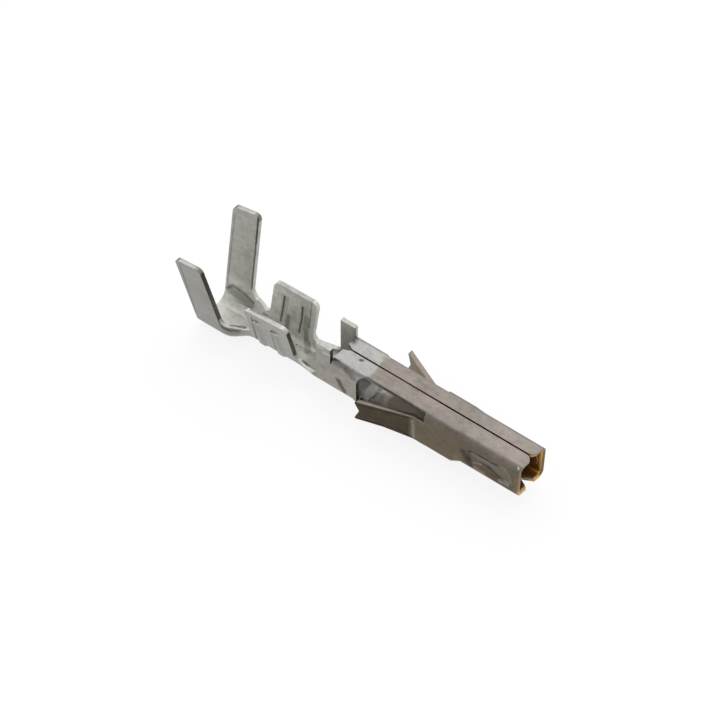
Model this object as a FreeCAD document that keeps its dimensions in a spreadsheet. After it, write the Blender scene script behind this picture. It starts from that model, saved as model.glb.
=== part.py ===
import FreeCAD, Part
import math
import os
import re
import Sketcher
from FreeCAD import Placement, Rotation, Vector

# Crimp socket contact, stamped and folded from one strip of sheet metal.
# X runs along the contact towards its mating end, Y across it and Z up.
# The origin is the middle of the mating mouth, on the axis of the pin that it takes.
# Stations along the contact are lengths counted backwards from the mating end.

doc = FreeCAD.newDocument("CrimpSocketContact")
sizes = doc.addObject("Spreadsheet::Sheet", "Sizes")

DRIVING_SIZES = [
    ("sheet_gauge", 0.25, "thickness of the sheet"),
    ("bend_radius", 0.36, "outer radius of the box's long bends"),

    ("box_width", 2.26, "outer width of the box"),
    ("box_height", 2.2, "outer height of the box above its front floor"),
    ("box_length", 12.09, "from the mating end to the rear edge of the top flaps"),
    ("seam_gap", 0.1, "gap between the top flaps"),
    ("seam_offset", 0.05, "how far the gap lies to the far side of the middle"),
    ("flap_chamfer_length", 0.42, "rear seam corner of a top flap, along X"),
    ("flap_chamfer_width", 0.2, "rear seam corner of a top flap, along Y"),

    ("beam_width", 2.14, "outer width across the two spring beams at the mouth"),
    ("beam_length", 3.87, "length of the spring beams"),
    ("beam_slot", 0.16, "gap between the lower lips of the beams"),
    ("lip_cut_length", 0.7, "how far back the lower lips' slanted corners start"),
    ("lip_cut_width", 0.3, "width of that slanted corner on each lip"),
    ("lip_nose", 0.12, "from the mating end to the front of the slanted corners"),
    ("flap_nose_radius", 0.42, "round of a top flap's front seam corner"),
    ("mouth_edge", 0.13, "thickness left on the sheet's edge round the mouth"),
    ("mouth_lead", 0.32, "length of the lead-in inside the mouth"),
    ("mouth_slant", 0.17, "how far the mouth's lower edge stands behind its upper edge"),

    ("belly_drop", 0.3, "depth of the deeper floor behind the beams"),
    ("belly_length", 6.3, "length of the deeper floor"),
    ("belly_ramp", 0.6, "length of each slope into the deeper floor"),

    ("window_setback", 6.1, "from the mating end to the front of the side windows"),
    ("window_length", 4.38, "length of the side windows"),
    ("window_flap_width", 1.78, "width left on the top flaps between the windows"),
    ("window_corner_radius", 0.75, "round of a window's upper rear corner"),
    ("window_sill", -0.12, "level of the windows' lower edge"),

    ("lance_bend_radius", 0.5, "inner radius of a lance's outward bend"),
    ("lance_setback", 0.69, "from the window's front edge to the lance's bend"),
    ("near_lance_length", 3.25, "length of the near lance from its bend to its tips"),
    ("far_lance_length", 3.42, "length of the far lance from its bend to its tips"),
    ("lance_root_height", 1.58, "height of a lance at its bend"),
    ("lance_tip_height", 1.24, "height of a lance across its forked end"),
    ("lance_fork_depth", 0.28, "depth of the hollow in the forked end"),
    ("lance_prong_radius", 0.09, "round of the two prongs of the forked end"),
    ("near_lance_splay", 16.0, "outward angle of the near lance, degrees"),
    ("far_lance_splay", 25.5, "outward angle of the far lance, degrees"),
    ("lance_waist_lift", 0.1, "hollow of a lance's lower edge"),
    ("lance_slit", 0.06, "width of the slit under a lance"),

    ("emboss_setback", 0.5, "from the mating end to the front of a side emboss"),
    ("emboss_length", 2.87, "length of a side emboss"),
    ("emboss_rear_height", 0.76, "height of a side emboss at its rear"),
    ("emboss_front_height", 1.28, "height of a side emboss at its front"),
    ("emboss_level", 1.1, "level of a side emboss's middle"),
    ("emboss_depth", 0.18, "how far an emboss is pressed inwards at its rear"),
    ("emboss_end_run", 0.16, "length of the steep end of an emboss"),
    ("emboss_draft", 0.1, "how much an emboss narrows all round by its full depth"),

    ("tab_slit", 0.07, "slit between the box and the upright tabs"),
    ("tab_length", 0.93, "length of the upright tabs"),
    ("tab_rise", 0.6, "height of the upright tabs above the box"),

    ("front_neck_length", 1.55, "from the tabs to the conductor barrel"),
    ("near_neck_rise", 0.42, "height of the near edge beside the front neck"),
    ("far_neck_rise", 0.6, "height of the far edge beside the front neck"),
    ("conductor_length", 2.8, "length of the conductor barrel"),
    ("conductor_half_width", 0.72, "half of the conductor barrel's floor line"),
    ("conductor_radius", 0.55, "outer bend radius of the conductor barrel"),
    ("conductor_drop", 0.32, "conductor barrel's underside below the box's"),
    ("near_conductor_rise", 3.4, "height of the near conductor wing above its underside"),
    ("far_conductor_rise", 2.89, "height of the far conductor wing above its underside"),
    ("far_conductor_shift", 0.1, "how far the far conductor wing stands behind the near one"),
    ("near_conductor_slant", 0.35, "drop of the near conductor wing's top to the rear"),
    ("far_conductor_slant", 0.05, "drop of the far conductor wing's top to the rear"),
    ("near_conductor_splay", 16.0, "outward lean of the near conductor wing, degrees"),
    ("far_conductor_splay", 12.0, "outward lean of the far conductor wing, degrees"),

    ("serration_setback", 0.62, "from the conductor barrel's front to its first groove"),
    ("serration_pitch", 1.2, "spacing of the serration grooves"),
    ("serration_width", 0.55, "width of a serration groove"),
    ("serration_press", 0.08, "how far a serration groove is pressed outwards"),
    ("serration_margin", 0.5, "plain height left above the serration grooves"),

    ("rear_neck_length", 1.6, "between the conductor and insulation barrels"),
    ("rear_neck_rise", 1.35, "height of the sheet's edges beside the rear neck"),
    ("insulation_length", 1.7, "length of the insulation barrel"),
    ("insulation_half_width", 1.12, "half of the insulation barrel's floor line"),
    ("insulation_radius", 0.85, "outer bend radius of the insulation barrel"),
    ("insulation_drop", 0.92, "insulation barrel's underside below the box's"),
    ("insulation_rise", 6.66, "height of the insulation wings above their underside"),
    ("insulation_slant", 0.3, "drop of the insulation wings' ends to the rear"),
    ("near_insulation_splay", 16.6, "outward lean of the near insulation wing, degrees"),
    ("far_insulation_splay", 7.4, "outward lean of the far insulation wing, degrees"),

    ("wing_corner", 0.32, "round of the conductor wings' free corners"),
    ("wing_tip_radius", 0.3, "round of the insulation wings' free corners"),
    ("wing_root_radius", 0.42, "round where a wing meets a neck"),
]

for row, (alias, number, meaning) in enumerate(DRIVING_SIZES, start=1):
    sizes.set(f"A{row}", meaning)
    sizes.set(f"B{row}", str(number))
    sizes.setAlias(f"B{row}", alias)
doc.recompute()

ALIASES = {alias for alias, number, meaning in DRIVING_SIZES}

# Places worked out from the driving sizes, each written once as a formula.
BOX_REAR = "-box_length"
TAB_FRONT = f"({BOX_REAR} - tab_slit)"
TAB_REAR = f"({TAB_FRONT} - tab_length)"
CONDUCTOR_FRONT = f"({TAB_REAR} - front_neck_length)"
CONDUCTOR_REAR = f"({CONDUCTOR_FRONT} - conductor_length)"
INSULATION_FRONT = f"({CONDUCTOR_REAR} - rear_neck_length)"
INSULATION_REAR = f"({INSULATION_FRONT} - insulation_length)"
BELLY_FRONT = "-beam_length"
BELLY_REAR = f"({BELLY_FRONT} - belly_length)"
WINDOW_FRONT = "-window_setback"
WINDOW_REAR = f"({WINDOW_FRONT} - window_length)"
LANCE_BEND = f"({WINDOW_FRONT} - lance_setback)"

# Cutting tools reach this far past the metal, and a wing's blank this far past its end.
CLEAR = 1.0

# Grooves pressed across the conductor barrel, and the shares of their width that slope.
SERRATIONS = 2
STEEP = 0.12
GENTLE = 0.4

# Stages in which the strip eases from one section to the next along a neck.
EASING_STAGES = 5


def bound(formula):
    """The formula with each size's name written as a cell of the sheet."""
    return re.sub(r"[a-z_]+[a-z]", lambda found: f"Sizes.{found[0]}"
                  if found[0] in ALIASES else found[0], formula)


def value_of(formula):
    """The number that a formula of sheet names has now."""
    return float(sizes.evalExpression(bound(formula)))


def bind(feature, **formulas):
    """Bind properties of a feature, such as Length, to formulas of the sheet."""
    for name, formula in formulas.items():
        feature.setExpression(name, bound(formula))
    return feature


# Each drawing plane's rotation and the Placement axis that carries its station.
PLANES = {
    "section": (Rotation(Vector(1, 1, 1), 120), "x"),
    "side": (Rotation(Vector(1, 0, 0), 90), "y"),
    "plan": (Rotation(), "z"),
}


def draw_outline(name, plane, station, corners):
    """Sketch a closed outline through corners, each (across, up) or (across, up, radius)."""
    sketch = doc.addObject("Sketcher::SketchObject", name)
    rotation, axis = PLANES[plane]
    sketch.Placement = Placement(Vector(), rotation)
    sketch.setExpression(f"Placement.Base.{axis}", bound(station))

    points = [Vector(value_of(corner[0]), value_of(corner[1]), 0) for corner in corners]
    radii = [corner[2] if len(corner) > 2 else None for corner in corners]
    count = len(corners)
    arrivals, departures, centres = [], [], []
    for index, point in enumerate(points):
        if radii[index] is None:
            arrivals.append(point)
            departures.append(point)
            centres.append(None)
            continue
        before = (points[index - 1] - point).normalize()
        after = (points[(index + 1) % count] - point).normalize()
        half_angle = before.getAngle(after) / 2
        radius = value_of(radii[index])
        arrivals.append(point + before * (radius / math.tan(half_angle)))
        departures.append(point + after * (radius / math.tan(half_angle)))
        middle = (before + after).normalize()
        centres.append(point + middle * (radius / math.sin(half_angle)))

    sides = []
    for index in range(count):
        side = Part.LineSegment(departures[index], arrivals[(index + 1) % count])
        sides.append(sketch.addGeometry(side))

    def fix(geometry, vertex, corner):
        """Hold one vertex at a corner's two formulas."""
        for kind, formula in (("DistanceX", corner[0]), ("DistanceY", corner[1])):
            held = Sketcher.Constraint(kind, -1, 1, geometry, vertex, value_of(formula))
            number = sketch.addConstraint(held)
            sketch.setExpression(f"Constraints[{number}]", bound(formula))

    for index, corner in enumerate(corners):
        arriving, leaving = sides[index - 1], sides[index]
        if radii[index] is None:
            sketch.addConstraint(Sketcher.Constraint("Coincident", arriving, 2, leaving, 1))
            fix(leaving, 1, corner)
            continue
        centre = centres[index]
        inward, outward = arrivals[index] - centre, departures[index] - centre
        turns_left = inward.cross(outward).z > 0
        first, last = (inward, outward) if turns_left else (outward, inward)
        start = math.atan2(first.y, first.x)
        sweep = first.getAngle(last)
        circle = Part.Circle(centre, Vector(0, 0, 1), value_of(radii[index]))
        arc = sketch.addGeometry(Part.ArcOfCircle(circle, start, start + sweep))
        entry, leave = (1, 2) if turns_left else (2, 1)
        sketch.addConstraint(Sketcher.Constraint("Tangent", arriving, 2, arc, entry))
        sketch.addConstraint(Sketcher.Constraint("Tangent", arc, leave, leaving, 1))
        number = sketch.addConstraint(
            Sketcher.Constraint("Radius", arc, value_of(radii[index])))
        sketch.setExpression(f"Constraints[{number}]", bound(radii[index]))
        tip = sketch.addGeometry(Part.Point(points[index]), True)
        sketch.addConstraint(Sketcher.Constraint("PointOnObject", tip, 1, arriving))
        sketch.addConstraint(Sketcher.Constraint("PointOnObject", tip, 1, leaving))
        fix(tip, 1, corner)
    return sketch


def extrude(name, sketch, forward, backward="0"):
    """Solid swept from a sketch along its normal, forwards and backwards."""
    solid = doc.addObject("Part::Extrusion", name)
    solid.Base = sketch
    solid.DirMode = "Normal"
    solid.Solid = True
    return bind(solid, LengthFwd=forward, LengthRev=backward)


def loft(name, sketches):
    """Solid ruled from one section sketch to the next."""
    solid = doc.addObject("Part::Loft", name)
    solid.Sections = sketches
    solid.Solid = True
    solid.Ruled = True
    return solid


def cut(name, base, tool):
    """What is left of base once tool is taken away."""
    left = doc.addObject("Part::Cut", name)
    left.Base = base
    left.Tool = tool
    left.Refine = False
    return left


def common(name, first, second):
    """What two solids share."""
    shared = doc.addObject("Part::MultiCommon", name)
    shared.Shapes = [first, second]
    shared.Refine = False
    return shared


def fuse(name, solids):
    """Several solids joined into one."""
    joined = doc.addObject("Part::MultiFuse", name)
    joined.Shapes = solids
    joined.Refine = False
    return joined


def mixed(first, second, weight):
    """Formula that lies a given share of the way from one formula to another."""
    return f"(({first}) * {1 - weight} + ({second}) * {weight})"


# Crimping strip: an open channel from the insulation barrel to the box.
# A section is its underside's level, half width, bend radius and two leans.

INSULATION_SECTION = {
    "level": "-insulation_drop",
    "half_width": "insulation_half_width",
    "radius": "insulation_radius",
    "near_splay": "near_insulation_splay",
    "far_splay": "far_insulation_splay",
}
CONDUCTOR_SECTION = {
    "level": "-conductor_drop",
    "half_width": "conductor_half_width",
    "radius": "conductor_radius",
    "near_splay": "near_conductor_splay",
    "far_splay": "far_conductor_splay",
}
BOX_SECTION = {
    "level": "0",
    "half_width": "box_width / 2",
    "radius": "bend_radius",
    "near_splay": "0",
    "far_splay": "0",
}


def eased_sections(rear, rear_section, front, front_section):
    """Sections that ease from one to another along a neck, without its two ends."""
    eased = []
    for stage in range(1, EASING_STAGES + 1):
        share = stage / (EASING_STAGES + 1)
        weight = share * share * (3 - 2 * share)
        station = mixed(rear, front, share)
        section = {key: mixed(rear_section[key], front_section[key], weight)
                   for key in rear_section}
        eased.append((station, section))
    return eased


CHANNEL_STATIONS = (
    [(INSULATION_REAR, INSULATION_SECTION), (INSULATION_FRONT, INSULATION_SECTION)]
    + eased_sections(INSULATION_FRONT, INSULATION_SECTION,
                     CONDUCTOR_REAR, CONDUCTOR_SECTION)
    + [(CONDUCTOR_REAR, CONDUCTOR_SECTION), (CONDUCTOR_FRONT, CONDUCTOR_SECTION)]
    + eased_sections(CONDUCTOR_FRONT, CONDUCTOR_SECTION, TAB_REAR, BOX_SECTION)
    + [(TAB_REAR, BOX_SECTION), (BOX_REAR, BOX_SECTION)]
)

# Level above every wing, where the channel's blank ends before it is trimmed.
BLANK_TOP = f"(insulation_rise + box_height + tab_rise + {CLEAR})"


def channel_corners(section, inset, top):
    """Corners of a channel section, moved inwards from its outer face by an inset."""
    level = f"({section['level']} + {inset})"
    corners = []
    for side, splay in ((-1, section["near_splay"]), (1, section["far_splay"])):
        drawn_in = f"({inset}) * tan((90 - {splay}) / 2)"
        foot = f"({section['half_width']} - {drawn_in})"
        head = f"({foot} + ({top} - {level}) * tan({splay}))"
        corners.append((f"{side} * {head}", top))
        corners.append((f"{side} * {foot}", level, f"({section['radius']} - {inset})"))
    near_head, near_foot, far_head, far_foot = corners
    return [near_head, near_foot, far_foot, far_head]


def channel_loft(name, inset, top):
    """Loft of the channel's sections, moved inwards by an inset."""
    sketches = []
    for number, (station, section) in enumerate(CHANNEL_STATIONS, start=1):
        corners = channel_corners(section, inset, top)
        sketches.append(draw_outline(f"{name}_section_{number}", "section", station, corners))
    return loft(name, sketches)


def serration_loft(name, number, inset, rear_slope, front_slope):
    """Swell of the conductor barrel's section over one groove, seen at an inset."""
    front = f"({CONDUCTOR_FRONT} - serration_setback - {number} * serration_pitch)"
    rear = f"({front} - serration_width)"
    pressed = f"({inset} - serration_press)"
    sunk = f"({inset} + serration_press / 4)"
    stations = [(rear, sunk), (mixed(rear, front, rear_slope), pressed),
                (mixed(rear, front, 1 - front_slope), pressed), (front, sunk)]
    top = "(far_conductor_rise - conductor_drop - serration_margin)"
    sketches = []
    for stage, (station, depth) in enumerate(stations, start=1):
        corners = channel_corners(CONDUCTOR_SECTION, depth, top)
        sketches.append(draw_outline(f"{name}_{number}_section_{stage}", "section",
                                     station, corners))
    return loft(f"{name}_{number}", sketches)


channel_outside = channel_loft("channel_outside", "0", BLANK_TOP)
channel_inside = channel_loft("channel_inside", "sheet_gauge", f"({BLANK_TOP} + {CLEAR})")
ridges = [serration_loft("ridge", number, "0", STEEP, GENTLE)
          for number in range(SERRATIONS)]
grooves = [serration_loft("groove", number, "sheet_gauge", GENTLE, STEEP)
           for number in range(SERRATIONS)]
channel_skin = fuse("channel_skin", [channel_outside] + ridges)
channel_hollow = fuse("channel_hollow", [channel_inside] + grooves)
channel_blank = cut("channel_blank", channel_skin, channel_hollow)


# Side outline of the strip, drawn once for each side because the wings differ.

def strip_outline(name, conductor_rise, conductor_slant, conductor_shift, neck_rise):
    """Side view of one half of the channel: wings, necks and upright tab."""
    insulation_top = "(insulation_rise - insulation_drop)"
    conductor_top = f"({conductor_rise} - conductor_drop)"
    rear_neck = "(rear_neck_rise - insulation_drop)"
    front_neck = f"({neck_rise} - conductor_drop / 2)"
    wing_rear = f"({CONDUCTOR_REAR} - {conductor_shift})"
    wing_front = f"({CONDUCTOR_FRONT} - {conductor_shift})"
    tab_top = "(box_height + tab_rise)"
    bend_start = "(box_height - bend_radius)"
    below = f"(-insulation_drop - {CLEAR})"
    corner, tip, root = "wing_corner", "wing_tip_radius", "wing_root_radius"
    return draw_outline(name, "side", "0", [
        (f"{INSULATION_REAR} - {CLEAR}", below),
        (f"{INSULATION_REAR} - {CLEAR}", "-insulation_drop"),
        (INSULATION_REAR, "-insulation_drop"),
        (INSULATION_REAR, f"{insulation_top} - insulation_slant", corner),
        (INSULATION_FRONT, insulation_top, tip),
        (INSULATION_FRONT, rear_neck, root),
        (wing_rear, rear_neck, root),
        (wing_rear, f"{conductor_top} - {conductor_slant}", corner),
        (wing_front, conductor_top, corner),
        (wing_front, front_neck, "wing_corner"),
        (TAB_REAR, front_neck, "wing_corner"),
        (TAB_REAR, tab_top),
        (TAB_FRONT, tab_top),
        (TAB_FRONT, bend_start),
        (f"{BOX_REAR} + {CLEAR}", bend_start),
        (f"{BOX_REAR} + {CLEAR}", below),
    ])


REACH = f"(box_width + insulation_rise + {CLEAR})"
near_outline = strip_outline("near_strip_outline", "near_conductor_rise",
                             "near_conductor_slant", "0", "near_neck_rise")
far_outline = strip_outline("far_strip_outline", "far_conductor_rise",
                            "far_conductor_slant", "far_conductor_shift", "far_neck_rise")
near_trim = extrude("near_strip_trim", near_outline, REACH)
far_trim = extrude("far_strip_trim", far_outline, "0", REACH)
strip_trim = fuse("strip_trim", [near_trim, far_trim])
channel = common("channel", channel_blank, strip_trim)


# Box: a folded tube with its seam on top and a deeper floor behind the beams.

# A station is its place, the width, the floor's drop and the thickness of the wall there.

BOX_STATIONS = [
    (BOX_REAR, "box_width", "0", "sheet_gauge"),
    (f"{BELLY_REAR} - belly_ramp", "box_width", "0", "sheet_gauge"),
    (BELLY_REAR, "box_width", "belly_drop", "sheet_gauge"),
    (f"{BELLY_FRONT} - belly_ramp", "box_width", "belly_drop", "sheet_gauge"),
    (BELLY_FRONT, "beam_width", "0", "sheet_gauge"),
    ("-mouth_lead", "beam_width", "0", "sheet_gauge"),
    ("0", "beam_width", "0", "mouth_edge"),
]


def box_loft(name, hollow):
    """Loft of the box's outer sections, or of its inner ones where it is the hollow."""
    sketches = []
    for number, (station, width, drop, wall) in enumerate(BOX_STATIONS, start=1):
        inset = wall if hollow else "0"
        side = f"({width} / 2 - {inset})"
        floor = f"({inset} - {drop})"
        roof = f"(box_height - {inset})"
        radius = f"(bend_radius - {inset})"
        corners = [(f"-{side}", roof, radius), (f"-{side}", floor, radius),
                   (side, floor, radius), (side, roof, radius)]
        sketches.append(draw_outline(f"{name}_section_{number}", "section", station, corners))
    return loft(name, sketches)


box_outside = box_loft("box_outside", False)
box_inside = box_loft("box_inside", True)

NEAR_SEAM = "(seam_offset - seam_gap / 2)"
FAR_SEAM = "(seam_offset + seam_gap / 2)"

seam = extrude("seam", draw_outline("seam_outline", "plan", "box_height / 2", [
    (f"{BOX_REAR} - {CLEAR}", f"{FAR_SEAM} + flap_chamfer_width"),
    (f"{BOX_REAR} - {CLEAR}", f"{NEAR_SEAM} - flap_chamfer_width"),
    (BOX_REAR, f"{NEAR_SEAM} - flap_chamfer_width"),
    (f"{BOX_REAR} + flap_chamfer_length", NEAR_SEAM),
    ("0", NEAR_SEAM, "flap_nose_radius"),
    ("0", "-beam_width / 2"),
    (f"{CLEAR}", "-beam_width / 2"),
    (f"{CLEAR}", "beam_width / 2"),
    ("0", "beam_width / 2"),
    ("0", FAR_SEAM, "flap_nose_radius"),
    (f"{BOX_REAR} + flap_chamfer_length", FAR_SEAM),
    (BOX_REAR, f"{FAR_SEAM} + flap_chamfer_width"),
]), "box_height")

beam_gap = extrude("beam_gap", draw_outline("beam_gap_outline", "plan", "box_height / 2", [
    (BELLY_FRONT, "-beam_slot / 2"),
    ("-lip_cut_length", "-beam_slot / 2"),
    ("-lip_nose", "-beam_slot / 2 - lip_cut_width"),
    (f"{CLEAR}", "-beam_slot / 2 - lip_cut_width"),
    (f"{CLEAR}", "beam_slot / 2 + lip_cut_width"),
    ("-lip_nose", "beam_slot / 2 + lip_cut_width"),
    ("-lip_cut_length", "beam_slot / 2"),
    (BELLY_FRONT, "beam_slot / 2"),
]), "0", "box_height")

mouth_trim = extrude("mouth_trim", draw_outline("mouth_trim_outline", "side", "0", [
    ("0", "box_height"),
    ("-mouth_slant", "0"),
    ("-mouth_slant", f"-{CLEAR}"),
    (f"{CLEAR}", f"-{CLEAR}"),
    (f"{CLEAR}", "box_height"),
]), "box_width", "box_width")


def window(name, side):
    """Side window, cut down through the top bend to its sill on one side (1 or -1)."""
    edge = f"{side} * (window_flap_width / 2)"
    inside = f"{side} * (window_flap_width / 2 - sheet_gauge)"
    beyond = f"{side} * (box_width / 2 + {CLEAR})"
    underside = "(box_height - sheet_gauge)"
    section = draw_outline(f"{name}_section", "section", WINDOW_FRONT, [
        (inside, "window_sill"),
        (inside, underside),
        (edge, underside),
        (edge, f"box_height + {CLEAR}"),
        (beyond, f"box_height + {CLEAR}"),
        (beyond, "window_sill"),
    ])
    block = extrude(f"{name}_block", section, "0", f"window_length + {CLEAR}")
    outline = draw_outline(f"{name}_outline", "side", "0", [
        (f"{WINDOW_FRONT} + {CLEAR}", f"window_sill - {CLEAR}"),
        (WINDOW_REAR, f"window_sill - {CLEAR}"),
        (WINDOW_REAR, "box_height", "window_corner_radius"),
        (f"{WINDOW_FRONT} + {CLEAR}", "box_height"),
    ])
    trim = extrude(f"{name}_trim", outline, "box_width", "box_width")
    return common(name, block, trim)


near_window = window("near_window", -1)
far_window = window("far_window", 1)

box_tube = cut("box_tube", box_outside, box_inside)
box_openings = fuse("box_openings", [seam, beam_gap, mouth_trim, near_window, far_window])
box = cut("box", box_tube, box_openings)


# Lances: each lies in the wall in front of its bend and splays outwards behind it.

def lance(name, side, length, splay):
    """One lance, on the far side (1) or the near side (-1)."""
    wall = "(box_width / 2)"
    run = f"({length} * cos({splay}))"
    swing = f"({length} * sin({splay}))"
    bend_inset = f"(sheet_gauge * tan({splay} / 2))"
    plan = draw_outline(f"{name}_plan", "plan", "window_sill", [
        (WINDOW_FRONT, f"{side} * {wall}"),
        (LANCE_BEND, f"{side} * {wall}", "lance_bend_radius"),
        (f"{LANCE_BEND} - {run}", f"{side} * ({wall} + {swing})"),
        (f"{LANCE_BEND} - {run} - sheet_gauge * sin({splay})",
         f"{side} * ({wall} + {swing} - sheet_gauge * cos({splay}))"),
        (f"{LANCE_BEND} - {bend_inset}", f"{side} * ({wall} - sheet_gauge)",
         "(lance_bend_radius + sheet_gauge)"),
        (WINDOW_FRONT, f"{side} * ({wall} - sheet_gauge)"),
    ])
    strip = extrude(f"{name}_strip", plan, "lance_root_height + lance_slit")

    tip = f"({LANCE_BEND} - {run})"
    foot = "(window_sill + lance_slit)"
    crown = f"({foot} + lance_root_height)"
    fall = "((lance_root_height - lance_tip_height) / 2)"
    outline = draw_outline(f"{name}_outline", "side", "0", [
        (f"{WINDOW_FRONT} + {CLEAR}", foot),
        (f"{WINDOW_FRONT} + {CLEAR}", crown),
        (LANCE_BEND, crown),
        (tip, f"{crown} - {fall}", "lance_prong_radius"),
        (f"{tip} + lance_fork_depth", f"{foot} + lance_root_height / 2"),
        (tip, f"{foot} + {fall}", "lance_prong_radius"),
        (mixed(tip, LANCE_BEND, 0.5), f"{foot} + {fall} / 2 + lance_waist_lift"),
        (LANCE_BEND, foot),
    ])
    trim = extrude(f"{name}_trim", outline, REACH, REACH)
    return common(name, strip, trim)


near_lance = lance("near_lance", -1, "near_lance_length", "near_lance_splay")
far_lance = lance("far_lance", 1, "far_lance_length", "far_lance_splay")

# Embosses: long dimples pressed inwards on the beams, steep behind and shallow in front.

EMBOSS_FRONT = "-emboss_setback"
EMBOSS_REAR = f"({EMBOSS_FRONT} - emboss_length)"

# Share of an emboss's half height that its rounded corners take.
END_ROUNDNESS = 0.85


# Growth of an outline that offsets a drafted wall by one thickness of sheet.
WALL_GROWTH = "(sheet_gauge * sqrt(1 + (emboss_draft / emboss_depth) ^ 2))"


def emboss_ends(growth):
    """Rear end, front end and half heights at both of an emboss grown all round."""
    return (f"({EMBOSS_REAR} - {growth})", f"({EMBOSS_FRONT} + {growth})",
            f"(emboss_rear_height / 2 + {growth})", f"(emboss_front_height / 2 + {growth})")


def emboss_solid(name, side, growth, depth):
    """One emboss as a drafted solid that reaches inwards from the wall's face."""
    face = "(beam_width / 2)"
    draft = f"(emboss_draft / emboss_depth * ({depth}))"
    sketches = []
    for end, station, grown in (("mouth", f"{face} + {depth}", f"({growth} + {draft})"),
                                ("floor", f"{face} - {depth}", f"({growth} - {draft})")):
        rear, front, rear_half, front_half = emboss_ends(grown)
        sketches.append(draw_outline(f"{name}_{end}", "side", f"{side} * ({station})", [
            (rear, f"emboss_level - {rear_half}", f"({rear_half} * {END_ROUNDNESS})"),
            (front, f"emboss_level - {front_half}", f"({front_half} * {END_ROUNDNESS})"),
            (front, f"emboss_level + {front_half}", f"({front_half} * {END_ROUNDNESS})"),
            (rear, f"emboss_level + {rear_half}", f"({rear_half} * {END_ROUNDNESS})"),
        ]))
    dish = loft(f"{name}_dish", sketches)

    rear, front, rear_half, front_half = emboss_ends(growth)
    floor = f"({face} - {depth})"
    plan = draw_outline(f"{name}_plan", "plan", "0", [
        (rear, f"{side} * ({floor} + emboss_depth)"),
        (f"{rear} + emboss_end_run", f"{side} * {floor}"),
        (mixed(rear, front, 0.45), f"{side} * {floor}"),
        (front, f"{side} * ({floor} + emboss_depth)"),
        (front, f"{side} * ({face} + {CLEAR})"),
        (rear, f"{side} * ({face} + {CLEAR})"),
    ])
    wedge = extrude(f"{name}_wedge", plan, "box_height")
    return common(name, dish, wedge)


def wall_slab(name, side):
    """Slab over one beam's wall, from its outer face inwards past an emboss."""
    inner = f"{side} * (beam_width / 2 - sheet_gauge - emboss_depth)"
    outer = f"{side} * (beam_width / 2)"
    outline = draw_outline(f"{name}_outline", "section", BELLY_FRONT, [
        (inner, "bend_radius"), (outer, "bend_radius"),
        (outer, "box_height - bend_radius"), (inner, "box_height - bend_radius"),
    ])
    return extrude(name, outline, "beam_length")


def embossed(body, name, side):
    """The body with one beam's wall pressed in at its emboss."""
    bump = emboss_solid(f"{name}_bump", side, WALL_GROWTH, "(sheet_gauge + emboss_depth)")
    backing = common(f"{name}_backing", bump, wall_slab(f"{name}_slab", side))
    recess = emboss_solid(f"{name}_recess", side, "0", "emboss_depth")
    thickened = fuse(f"{name}_thickened", [body, backing])
    return cut(name, thickened, recess)


embossed_box = embossed(embossed(box, "near_emboss", -1), "far_emboss", 1)

contact = fuse("socket_contact", [channel, embossed_box, near_lance, far_lance])
contact.Label = "socket_contact"
contact.setExpression("Placement.Base.z", bound("-box_height / 2"))
doc.recompute()

for feature in doc.Objects:
    if {"Invalid", "Error"} & set(feature.State):
        raise RuntimeError(f"{feature.Name} failed: {feature.State}")
if contact.Shape.isNull() or not contact.Shape.isValid() or len(contact.Shape.Solids) != 1:
    raise RuntimeError("the folded sheet isn't one valid solid")

os.makedirs("parts", exist_ok=True)
contact.Shape.exportStep(f"parts/{contact.Label}.step")
print(f"{contact.Label}: {contact.Shape.Volume:.2f} cubic mm")
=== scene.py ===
"""Looks of a crimp socket contact: plated strip, pale floor, soft light and the camera."""

import logging
import math
from dataclasses import dataclass, field
from enum import Enum
from typing import Any, Iterable, Union

import bmesh
import bpy
from mathutils import Matrix, Vector


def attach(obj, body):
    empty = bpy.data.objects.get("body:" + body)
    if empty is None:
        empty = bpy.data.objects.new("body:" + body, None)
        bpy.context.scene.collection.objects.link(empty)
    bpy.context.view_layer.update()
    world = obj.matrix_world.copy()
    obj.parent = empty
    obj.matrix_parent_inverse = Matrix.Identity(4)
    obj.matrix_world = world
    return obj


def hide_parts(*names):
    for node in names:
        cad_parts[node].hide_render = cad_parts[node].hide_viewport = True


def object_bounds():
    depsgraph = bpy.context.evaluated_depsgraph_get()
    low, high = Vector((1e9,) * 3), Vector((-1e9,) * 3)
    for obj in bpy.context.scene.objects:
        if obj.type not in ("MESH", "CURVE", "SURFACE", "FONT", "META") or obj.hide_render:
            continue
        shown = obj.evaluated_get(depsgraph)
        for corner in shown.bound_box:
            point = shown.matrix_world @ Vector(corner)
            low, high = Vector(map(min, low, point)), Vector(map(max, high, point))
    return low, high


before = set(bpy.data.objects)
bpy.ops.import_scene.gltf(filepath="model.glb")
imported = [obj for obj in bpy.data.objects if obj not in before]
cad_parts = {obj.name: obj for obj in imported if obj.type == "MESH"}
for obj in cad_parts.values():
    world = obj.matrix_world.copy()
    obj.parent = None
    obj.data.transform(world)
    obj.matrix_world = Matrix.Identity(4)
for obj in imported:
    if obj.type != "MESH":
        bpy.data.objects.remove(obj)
CAD_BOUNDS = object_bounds()

log = logging.getLogger("crimp_contact")

MM = 0.001
ROOT_BODY = "root"
CONTACT_NODE = "socket_contact"
CUT_EDGE = "cut_edge"
SHADED_CUT = "shaded_cut"
INNER_FACE = "inner_face"
# Mark of the rounds that get painted shade.
PAINTED_EDGE_SHADE = "painted_edge_shade"
NOISE_MIDDLE = 0.5
WOBBLE_PER_MM = 2.6
WOBBLE_DETAIL = 2.0
MIX_SHARE, MIX_FIRST, MIX_SECOND, MIX_RESULT = 0, 6, 7, 2

Colour = tuple[float, float, float]
Point = tuple[float, float, float]
Span = tuple[float, float]

WHITE: Colour = (1.0, 1.0, 1.0)


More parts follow.
